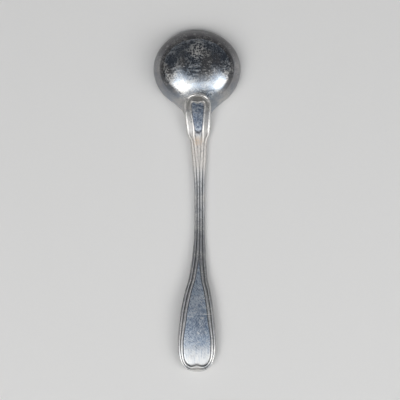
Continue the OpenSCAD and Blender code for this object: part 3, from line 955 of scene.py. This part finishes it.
class Canvas:
    """A material and its nodes."""

    def __init__(self, name: str) -> None:
        """Makes the material without nodes.

        Args:
            name: Name of the material.
        """
        self.material = bpy.data.materials.new(name)
        self.material.use_nodes = True
        self.tree = self.material.node_tree
        self.tree.nodes.clear()

    def node(self, kind: str, settings: dict, inputs: dict, output: int | str = 0) -> Signal:
        """Signal of one output of a new node; all as in add, and output is its name or number."""
        return Signal(self, self.add(kind, settings, inputs).outputs[output])

    def add(self, kind: str, settings: dict, inputs: dict) -> bpy.types.Node:
        """Adds a node.

        Args:
            kind: Blender's type name of the node.
            settings: Properties that are set first.
            inputs: Values or links by the socket's name or number.

        Returns:
            The node.
        """
        node = self.tree.nodes.new(kind)
        for name, value in settings.items():
            setattr(node, name, value)
        for name, value in inputs.items():
            if isinstance(value, Signal):
                self.tree.links.new(value.socket, node.inputs[name])
            else:
                node.inputs[name].default_value = value
        return node

    def mark(self, name: str) -> Signal:
        """A mark that the mesh carries at each point."""
        return self.node("ShaderNodeAttribute", {"attribute_name": name}, {}, "Fac")

    def place(self) -> Signal:
        """Place on the object, in metres."""
        return self.node("ShaderNodeTexCoord", {}, {}, "Object")

    def along(self, place: Signal) -> Signal:
        """Place along the object, in millimetres."""
        return self.node("ShaderNodeSeparateXYZ", {}, {"Vector": place}, "Y") * (1 / MM)

    def turned(self, place: Signal, degrees: float, stretch: tuple[float, float, float]) -> Signal:
        """Place turned about the vertical and stretched, for grain that runs one way.

        Args:
            place: The place.
            degrees: Angle of the turn.
            stretch: Scale along each axis.

        Returns:
            The turned place.
        """
        return self.node(
            "ShaderNodeMapping", {"vector_type": "POINT"},
            {"Vector": self.node("ShaderNodeVectorRotate", {"rotation_type": "Z_AXIS"},
                                 {"Vector": place, "Angle": math.radians(degrees)}),
             "Scale": stretch},
        )

    def noise(self, place: Signal, size_mm: float, detail: float = 2, roughness: float = 0.5) -> Signal:
        """Soft noise whose grains measure about size_mm.

        Args:
            place: Where the noise is taken.
            size_mm: Size of the grains.
            detail: How many finer layers it has.
            roughness: Weight of the finer layers.

        Returns:
            The noise, around one half.
        """
        return self.node(
            "ShaderNodeTexNoise", {"noise_dimensions": "3D"},
            {"Vector": place, "Scale": 1 / (size_mm * MM), "Detail": detail, "Roughness": roughness},
        )

    def blend(self, share: Signal, first: Signal | Colour, second: Signal | Colour) -> Signal:
        """Mixes two colours by a share, which the node keeps from 0 to 1."""
        colours = [c if isinstance(c, Signal) else (*c, 1) for c in (first, second)]
        return self.node("ShaderNodeMix", {"data_type": "RGBA"}, {0: share, 6: colours[0], 7: colours[1]}, 2)

    def surface(self, shader: Signal) -> bpy.types.Material:
        """Leads the shader to the output, and returns the material."""
        self.add("ShaderNodeOutputMaterial", {}, {"Surface": shader})
        return self.material


# Silver


@dataclass(frozen=True)
class Patch:
    """A round patch on the back: its middle and radius in millimetres, and its share in the middle."""

    across: float
    along: float
    radius: float
    share: float = 1


class Ramp(Enum):
    """Smooth steps that are multiplied: the levels where each starts and stops, and the shares there."""

    # Along the spoon, in millimetres from its middle towards the lip
    DROP = (18, 23), (38, 36, 0, 0.3)
    NECK = (5, 15), (23, 18)
    # Stretch of the handle that gets a dark tone, partly tarnish and partly painted dark reflection
    HANDLED = (14, 2),
    WAIST = (2, -12), (-50, -38)
    SHOULDER = (-17, -23), (-34, -28)
    AGED = (4, -22),
    # The drop's sunk panel, which gets a painted dark reflection
    END = (-43, -50),
    PANEL = (18, 22),
    LIP_HALF = (38, 44, 1, 0.45),
    # Painted dark reflection along the lip's edge
    LIP_BAND = (41, 50, 0, 0.7),
    # Painted dark reflection on the rim band: full at the lip, less on the sides, least towards the heel
    BAND_SIDES = (50, 42, 1, 0.7),
    BAND_HEEL = (38, 29, 0, -0.4),
    BAND_ROUGH = (44, 34, 0, 0.2),
    # Painted dark ring of reflection inside the rim band, on the sides and at the lip
    RING_SIDES = (30, 38, 0, 0.75),
    RING_LIP = (38, 46, 0, 0.25),
    # Over the levels of a noise or a mark
    SPECKS = (0.5, 0.64, 0, 0.195),
    TIP = (0.47, 0.58),
    HAZE = (0.46, 0.66, 0, 0.45),
    HAZE_SPECKS = (0.44, 0.6),
    HAIR = (0.6, 0.68),
    HAIR_THERE = (0.54, 0.66),
    BLUE = (0.38, 0.6),
    CREST = (0.4, 0.08),
    CREST_SPECKS = (0.36, 0.5),
    PITS = (0.56, 0.4),
    PANEL_PITS = (0.62, 0.44),
    NECK_PITS = (0.5, 0.36, 0, 0.55),
    DARK_STROKES = (0.48, 0.58),
    LIGHT_STROKES = (0.5, 0.64),
    STREAKS = (0.38, 0.6, 0, 0.7),
    # Levels of the rim mark for the painted dark edge at the lip and the painted dark ring
    BAND = (0.85, 0.97),
    RING = (0.97, 0.85), (0.08, 0.3)
    DIRT = (0.55, 1),
    STAIN = (0.36, 0.52),


@dataclass(frozen=True)
class Shares:
    """How strongly each trace of wear or painted reflection shows; a pair is its share without and with the
    signal it follows.
    """

    blue_bowl: Pair = (0.3, 0.9)
    blue_field: Pair = (0.7, 0.2)
    waist_crest: Pair = (1, 0.4)
    handled_tone: Pair = (0.7, 1.2)
    handled_crest: Pair = (1, 0.4)
    shoulder: Pair = (1, 0.3)
    stained: Pair = (0.5, 1)
    pits: Pair = (0.1, 0.5)
    struck: Pair = (0.75, 0.15)
    brushed: Pair = (0.42, 0)
    # Speckle of the painted dark reflection on the rim band
    band_specks: Pair = (0.85, 1.35)
    dirt_tone: Pair = (0.45, 0.95)
    dirt_backs: Pair = (1, 0.3)
    dirt_handled: Pair = (1, 0.7)
    hair: float = 0.7
    crests: float = 0.8
    neck_warm: float = 0.12


@dataclass(frozen=True)
class Roughness:
    """Roughness of the bare handle and bowl, what each trace adds to it, and the most that it can be."""

    bare: Pair = (0.245, 0.165)
    speck_tone: Pair = (0.5, 1)
    band_gain: float = 3
    hair: float = 0.26
    rubbed: float = 0.55
    dirt: float = 0.2
    field: float = 0.12
    neck: float = 0.24
    handled: float = 0.15
    most: float = 0.85


@dataclass(frozen=True)
class Relief:
    """Depth of the fine relief in millimetres, how far it bends the light, and the shares of its parts."""

    depth_mm: float = 0.05
    strength: float = 0.4
    pits: Pair = (0.06, 1)
    strokes: float = 0.5
    hair: float = 0.5


@dataclass(frozen=True)
class OldSilver:
    """Finish of worn sterling with some painted reflection and shade: colours, noises as [size in mm, detail,
    roughness], grains and patches.
    """

    bright: Colour = (0.74, 0.73, 0.71)
    dull: Colour = (0.36, 0.37, 0.39)
    blue: Colour = (0.38, 0.45, 0.54)
    warm: Colour = (0.74, 0.57, 0.42)
    # Painted dark reflection of the rim band
    rim: Colour = (0.215, 0.21, 0.22)
    # Dark tone of the handle: partly tarnish, partly painted dark reflection on the threads' flanks
    handled: Colour = (0.2, 0.205, 0.215)
    # Painted dark reflection on the drop's sunk panel; also the tone of the field's dark strokes
    panel: Colour = (0.115, 0.15, 0.22)
    patina: Colour = (0.17, 0.21, 0.27)
    brushed: Colour = (0.58, 0.63, 0.68)
    # Tarnish in the grooves; also the painted dark reflection at the lip and in the ring by the rim
    groove: Colour = (0.06, 0.06, 0.065)
    speck: tuple[float, float, float] = (0.62, 4, 0.7)
    tone: tuple[float, float, float] = (5.5, 3, 0.6)
    haze: tuple[float, float, float] = (2.6, 2, 0.6)
    stroke_mm: Pair = (0.27, 0.95)
    stroke_angles: Pair = (28, -38)
    streak_mm: Pair = (0.4, 12)
    scratch_mm: Pair = (0.17, 8)
    scratch_angles: tuple[float, ...] = (84, 62, 93, 141)
    scratch_gap_mm: float = 2.6
    scratched: Patch = Patch(-5, 7.4, 5, 0.8)
    worn_tip: Patch = Patch(0.2, 6.9, 4.4, 1.5)
    worn_end: Patch = Patch(0, 106, 3, 1.4)
    warm_neck: Patch = Patch(0.3, 34.6, 2.1, 0.55)
    # Painted shade that dims the reflection in the low bowl between the two highlights
    heel_painted_shade: Patch = Patch(0.8, 18, 5.5, 0.8)
    stained: Patch = Patch(2.2, 91, 6)
    shares: Shares = Shares()
    roughness: Roughness = Roughness()
    relief: Relief = Relief()

    def dress(self, name: str) -> bpy.types.Material:
        """Makes the material.

        Args:
            name: Name of the material.

        Returns:
            The material with its nodes.
        """
        canvas = Canvas(name)
        wear = WearAndPaintedLight(self, canvas)
        colour = self.bright
        for share, tint in wear.layers():
            colour = canvas.blend(share, colour, tint)
        bump = canvas.node("ShaderNodeBump", {}, {
            "Strength": self.relief.strength, "Distance": self.relief.depth_mm * MM, "Height": wear.height(),
        })
        return canvas.surface(canvas.node("ShaderNodeBsdfPrincipled", {}, {
            "Base Color": colour, "Metallic": 1.0, "Roughness": wear.rough(), "Normal": bump,
        }))


class WearAndPaintedLight:
    """Traces of wear, and painted reflection and shade, as signals of one material, which its colour,
    roughness and relief are made from.
    """

    def __init__(self, silver: OldSilver, canvas: Canvas) -> None:
        """Makes the traces that are used more than once.

        Args:
            silver: The finish, with its sizes and shares.
            canvas: The material's nodes.
        """
        self.silver, self.canvas, s = silver, canvas, silver.shares
        self.place = canvas.place()
        self.along = along = canvas.along(self.place)
        self.groove, field, bowl, rim = (canvas.mark(mark) for mark in MARKS)
        self.field, self.bowl, self.rim = field, bowl, rim
        self.tone = canvas.noise(self.place, *silver.tone)
        self.fine = fine = canvas.noise(self.place, *silver.speck)
        self.light, self.dark = (self.grain(turn, silver.stroke_mm) for turn in silver.stroke_angles)
        self.hair = self.scratches()
        self.end, self.neck = along.over(Ramp.END), along.over(Ramp.NECK)
        tip = self.patch(silver.worn_tip) * fine.over(Ramp.TIP)
        haze = canvas.noise(self.place, *silver.haze).over(Ramp.HAZE) * fine.over(Ramp.HAZE_SPECKS) * bowl
        self.rubbed = ((tip + haze) * (1 - rim) + self.patch(silver.worn_end)).at_most(1)
        self.backs = self.neck + along.over(Ramp.DROP) * (1 - bowl) * (1 - rim) * (1 - field)
        # Handle past its middle, off the field and the end: darker, partly with painted dark reflection, and
        # rougher
        self.handled = along.over(Ramp.HANDLED) * (1 - self.end) * (1 - field)
        self.flat = bowl * along.over(Ramp.LIP_HALF) + field * (1 - self.end)
        dirt = self.groove.over(Ramp.DIRT) * self.tone.span(*s.dirt_tone)
        self.dirt = (dirt * self.backs.span(*s.dirt_backs) * self.handled.span(*s.dirt_handled)).at_most(1)

    def patch(self, patch: Patch) -> Signal:
        """A patch's share in its middle, which fades to 0 at its radius.

        Args:
            patch: The patch.

        Returns:
            Its share at each place.
        """
        middle = (patch.across * MM, (Sizes.spoon_l / 2 - patch.along) * MM, 0)
        node = self.canvas.node
        flat = node("ShaderNodeVectorMath", {"operation": "MULTIPLY"}, {0: self.place, 1: (1, 1, 0)})
        gap = node("ShaderNodeVectorMath", {"operation": "DISTANCE"}, {0: flat, 1: middle}, "Value")
        return gap.step(patch.radius * MM, 0, 0, patch.share)

    def grain(self, turn: float, size: Pair) -> Signal:
        """Noise drawn out along one direction: grains as wide and as long as size says."""
        width, length = size
        return self.canvas.noise(self.canvas.turned(self.place, turn, (1, width / length, 1)), width, 1)

    def scratches(self) -> Signal:
        """Fine hair scratches in a few directions, sparse but for one patch.

        Returns:
            Share of scratches at each place.
        """
        silver, lines = self.silver, []
        dense = self.patch(silver.scratched)
        for turn in silver.scratch_angles:
            turned = self.canvas.turned(self.place, turn, (1, 1, 1))
            there = self.canvas.noise(turned, silver.scratch_gap_mm, 1).over(Ramp.HAIR_THERE)
            lines.append(self.grain(turn, silver.scratch_mm).over(Ramp.HAIR) * there.at_least(dense))
        return reduce(Signal.at_least, lines)

    def layers(self) -> list[tuple[Signal, Colour]]:
        """The layers of colour over the bright metal, the lowest first; some are painted reflection or shade.

        Returns:
            Pairs of how much of a layer shows and its colour.
        """
        silver, s, along, fine = self.silver, self.silver.shares, self.along, self.fine
        field, bowl, rim, end = self.field, self.bowl, self.rim, self.end
        blued = self.tone.over(Ramp.BLUE) * bowl.span(*s.blue_bowl) + field * end.span(*s.blue_field)
        waist = along.over(Ramp.WAIST).span(*s.waist_crest)
        crest = self.groove.over(Ramp.CREST) * fine.over(Ramp.CREST_SPECKS) * waist
        aged = along.over(Ramp.AGED) * (1 - end) * along.over(Ramp.SHOULDER).span(*s.shoulder)
        # Speckled painted dark reflection on the drop's sunk panel
        panel = along.over(Ramp.PANEL) * fine.over(Ramp.PANEL_PITS)
        struck = self.dark.over(Ramp.DARK_STROKES) * end.span(*s.struck)
        # Painted dark reflection on the rim band, strongest at the lip
        band = rim * (along.over(Ramp.BAND_SIDES) + along.over(Ramp.BAND_HEEL))
        # Painted dark ring of reflection just inside the rim band
        painted_dark_ring = rim.over(Ramp.RING) * bowl * (along.over(Ramp.RING_SIDES) + along.over(Ramp.RING_LIP))
        crests = self.backs * (1 - self.groove) * s.crests
        stain = self.patch(silver.warm_neck) * fine.over(Ramp.STAIN)
        return [
            (blued, silver.blue),
            # Handle darkened: partly tarnish, partly painted dark reflection
            (self.handled * self.tone.span(*s.handled_tone) * crest.span(*s.handled_crest), silver.handled),
            # Painted shade over the low bowl between the highlights
            (self.patch(silver.heel_painted_shade) * bowl, silver.blue),
            (field * aged * self.patch(silver.stained).span(*s.stained), silver.patina),
            (fine.over(Ramp.PITS) * (bowl * self.flat).span(*s.pits), silver.dull),
            # Painted dark reflection on the drop's panel, and the field's dark strokes
            (field * (panel + struck), silver.panel),
            (field * self.light.over(Ramp.LIGHT_STROKES) * end.span(*s.brushed), silver.brushed),
            (field * end * self.grain(0, silver.streak_mm).over(Ramp.STREAKS), silver.bright),
            # Rim band in a painted dark reflection
            (band * fine.span(*s.band_specks), silver.rim),
            # Painted dark reflection along the lip's edge and in the ring
            (rim.over(Ramp.BAND) * along.over(Ramp.LIP_BAND) + painted_dark_ring, silver.groove),
            (self.dirt, silver.groove),
            (self.hair * s.hair + self.rubbed + crests, silver.bright),
            (self.backs * fine.over(Ramp.NECK_PITS), silver.dull),
            (self.backs * s.neck_warm + stain, silver.warm),
        ]

    def rough(self) -> Signal:
        """Roughness of the metal with all traces.

        Returns:
            The roughness.
        """
        r = self.silver.roughness
        specks = self.fine.over(Ramp.SPECKS) * self.flat * self.tone.span(*r.speck_tone)
        band = (self.rim * self.bowl * r.band_gain).at_most(1) * self.along.over(Ramp.BAND_ROUGH)
        worn = self.hair * r.hair + self.rubbed * r.rubbed + self.neck * r.neck + self.handled * r.handled
        total = self.bowl.span(*r.bare) + specks + band + worn + self.dirt * r.dirt + self.field * r.field
        return total.at_most(r.most)

    def height(self) -> Signal:
        """Relief of pits, strokes and scratches, as a share of its depth.

        Returns:
            The relief.
        """
        relief = self.silver.relief
        strokes = self.field * (self.dark - self.light) * relief.strokes
        return self.flat.span(*relief.pits) * self.fine + strokes - self.hair * relief.hair


def placed(name: str, data: bpy.types.ID) -> bpy.types.Object:
    """Adds an object to the scene.

    Args:
        name: Name of the object.
        data: Its mesh, lamp or camera data.

    Returns:
        The object.
    """
    thing = bpy.data.objects.new(name, data)
    bpy.context.scene.collection.objects.link(thing)
    return thing


class DressedSpoon:
    """The spoon as it is seen: a fine mesh in old silver that stands for the solid."""

    SHARP_ANGLE = 55

    def __init__(self, size: Sizes, facets: Facets, finish: OldSilver) -> None:
        """Keeps what the spoon is made from."""
        self.size, self.facets, self.finish = size, facets, finish

    def build(self) -> bpy.types.Object:
        """Makes the piece and binds it to the frame.

        Returns:
            The piece.
        """
        points, faces, marks = SpoonMesh(SpoonForm(self.size), self.facets).build()
        mesh = bpy.data.meshes.new("silver_spoon")
        mesh.from_pydata(points.tolist(), [], faces)
        for name, values in zip(MARKS, marks.T):
            attribute = mesh.attributes.new(name, "FLOAT", "POINT")
            attribute.data.foreach_set("value", values.astype(np.float32))
        mesh.shade_smooth()
        mesh.set_sharp_from_angle(angle=math.radians(self.SHARP_ANGLE))
        mesh.materials.append(self.finish.dress("old_silver"))
        piece = placed("silver_spoon", mesh)
        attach(piece, BODY)
        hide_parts(CAD_NODE)
        triangles = sum(len(face) - 2 for face in faces)
        log.info("%s: %d points, %d triangles", piece.name, len(points), triangles)
        return piece


# Studio


@dataclass(frozen=True)
class Softbox:
    """A soft lamp: where it stands as seen from the spoon, its size in metres, its level and colour."""

    name: str
    azimuth: float
    elevation: float
    distance: float
    width: float
    height: float
    level: float
    colour: Colour

    def build(self, aim: Vector) -> bpy.types.Object:
        """Makes the lamp, turned towards the aim.

        Args:
            aim: Where it points.

        Returns:
            The lamp.
        """
        data = bpy.data.lights.new(self.name, "AREA")
        data.shape, data.size, data.size_y = "RECTANGLE", self.width, self.height
        data.energy = self.level * math.pi * self.width * self.height
        data.color = self.colour
        lamp = placed(self.name, data)
        turn, rise = math.radians(self.azimuth), math.radians(self.elevation)
        away = Vector((math.sin(turn) * math.cos(rise), math.cos(turn) * math.cos(rise), math.sin(rise)))
        lamp.location = aim + away * self.distance
        lamp.rotation_mode = "QUATERNION"
        lamp.rotation_quaternion = away.to_track_quat("Z", "Y")
        lamp.visible_camera = False
        log.info("lamp %s", self.name)
        return lamp


@dataclass(frozen=True)
class FloorPaper:
    """Finish of the floor: pale paper with faint specks, evenly pale to camera and mirror far out."""

    colour: Colour = (0.87, 0.865, 0.855)
    specks: Colour = (0.5, 0.5, 0.5)
    speck_share: float = 0.04
    speck_mm: float = 0.9
    roughness: float = 0.85
    shine: float = 0.15
    far_colour: Colour = (0.64, 0.636, 0.628)
    far_from: Pair = (0.35, 1.6)

    def dress(self, name: str) -> bpy.types.Material:
        """Makes the material.

        Args:
            name: Name of the material.

        Returns:
            The material with its nodes.
        """
        canvas = Canvas(name)
        place = canvas.place()
        specks = canvas.noise(place, self.speck_mm) * self.speck_share
        near = canvas.node("ShaderNodeBsdfPrincipled", {}, {
            "Base Color": canvas.blend(specks, self.colour, self.specks),
            "Roughness": self.roughness, "Specular IOR Level": self.shine,
        })
        reach = canvas.node("ShaderNodeVectorMath", {"operation": "LENGTH"}, {0: place}, "Value")
        rays = [canvas.node("ShaderNodeLightPath", {}, {}, f"Is {kind} Ray") for kind in ("Camera", "Glossy")]
        seen = rays[0].at_least(rays[1]) * reach.step(*self.far_from)
        even = canvas.node("ShaderNodeEmission", {}, {"Color": (*self.far_colour, 1), "Strength": 1.0})
        return canvas.surface(canvas.node("ShaderNodeMixShader", {}, {0: seen, 1: near, 2: even}))


class Studio:
    """The pale floor, the lamps, the room's own light and the camera over the spoon."""

    FLOOR_PROFILE = ((1.2, 0.0), (3.2, 0.0), (3.8, 0.02), (4.2, 0.1), (4.4, 0.3))
    FLOOR_SIDES = 96
    ROOM_COLOUR = (0.055, 0.057, 0.062)
    SOFTBOXES = (
        Softbox("softbox_left", 232, 48, 0.85, 0.46, 0.4, 1.75, (1.0, 0.98, 0.95)),
        Softbox("softbox_left_soft", 231, 50, 0.9, 0.72, 0.66, 0.78, (1.0, 0.98, 0.96)),
        Softbox("softbox_left_wide", 226, 52, 1.0, 1.25, 1.0, 0.45, (0.98, 0.99, 1.0)),
        Softbox("softbox_right", 112, 36, 0.85, 0.44, 0.4, 1.95, (1.0, 0.985, 0.96)),
        Softbox("softbox_right_soft", 114, 39, 0.9, 0.66, 0.6, 0.85, (1.0, 0.985, 0.97)),
        Softbox("softbox_right_wide", 120, 44, 1.0, 1.0, 0.9, 0.45, (0.98, 0.99, 1.0)),
        Softbox("softbox_front", 180, 72, 1.0, 1.3, 0.3, 0.5, (0.97, 0.985, 1.0)),
        Softbox("softbox_front_wide", 180, 62, 1.1, 1.6, 0.72, 0.39, (0.95, 0.98, 1.0)),
        Softbox("softbox_front_low", 180, 27, 1.3, 2.4, 0.62, 0.17, (0.95, 0.98, 1.0)),
        Softbox("softbox_top", 180, 81, 1.6, 2.2, 0.7, 0.34, (0.9, 0.95, 1.0)),
    )
    PHOTO_WIDTH = 0.12398
    CAMERA_PLACE = Vector((0.00093, 0.00025, 0.62))
    CAMERA_LEVEL = 0.0018
    SENSOR = 36.0

    def build(self) -> None:
        """Makes the whole stage."""
        self.build_floor()
        self.build_room()
        for softbox in self.SOFTBOXES:
            softbox.build(Vector((0, 0, 0)))
        self.build_camera()

    def build_floor(self) -> bpy.types.Object:
        """Makes a round floor whose far edge sweeps up to a low wall.

        Returns:
            The floor.
        """
        turns = np.arange(self.FLOOR_SIDES) * 2 * math.pi / self.FLOOR_SIDES
        points = [(0.0, 0.0, 0.0)]
        for radius, height in self.FLOOR_PROFILE:
            points += [(radius * math.cos(t), radius * math.sin(t), height) for t in turns]
        rings = np.arange(1, len(points)).reshape(len(self.FLOOR_PROFILE), -1)
        rings = np.concatenate([rings, rings[:, :1]], 1)
        fan = [(0, *side) for side in zip(rings[0].tolist(), rings[0, 1:].tolist())]
        mesh = bpy.data.meshes.new("floor")
        mesh.from_pydata(points, [], fan + quads(rings.T).tolist())
        mesh.shade_smooth()
        mesh.materials.append(FloorPaper().dress("floor_paper"))
        floor = placed("floor", mesh)
        log.info("floor")
        return floor

    def build_room(self) -> None:
        """Sets the dim even light of the room."""
        scene = bpy.context.scene
        scene.world = scene.world or bpy.data.worlds.new("room")
        scene.world.use_nodes = True
        background = scene.world.node_tree.nodes["Background"]
        background.inputs["Color"].default_value = (*self.ROOM_COLOUR, 1)
        background.inputs["Strength"].default_value = 1
        scene.view_settings.view_transform = "Standard"

    def build_camera(self) -> bpy.types.Object:
        """Makes the camera, which looks straight down on the spoon.

        Returns:
            The camera.
        """
        data = bpy.data.cameras.new("camera")
        data.sensor_width = self.SENSOR
        data.lens = self.SENSOR * (self.CAMERA_PLACE.z - self.CAMERA_LEVEL) / self.PHOTO_WIDTH
        camera = placed("camera", data)
        camera.location = self.CAMERA_PLACE
        bpy.context.scene.camera = camera
        return camera


def main() -> None:
    """Builds the spoon and its stage."""
    logging.basicConfig(level=logging.INFO, format="%(name)s: %(message)s")
    DressedSpoon(Sizes(), Facets(), OldSilver()).build()
    Studio().build()


if __name__ == "__main__":
    main()
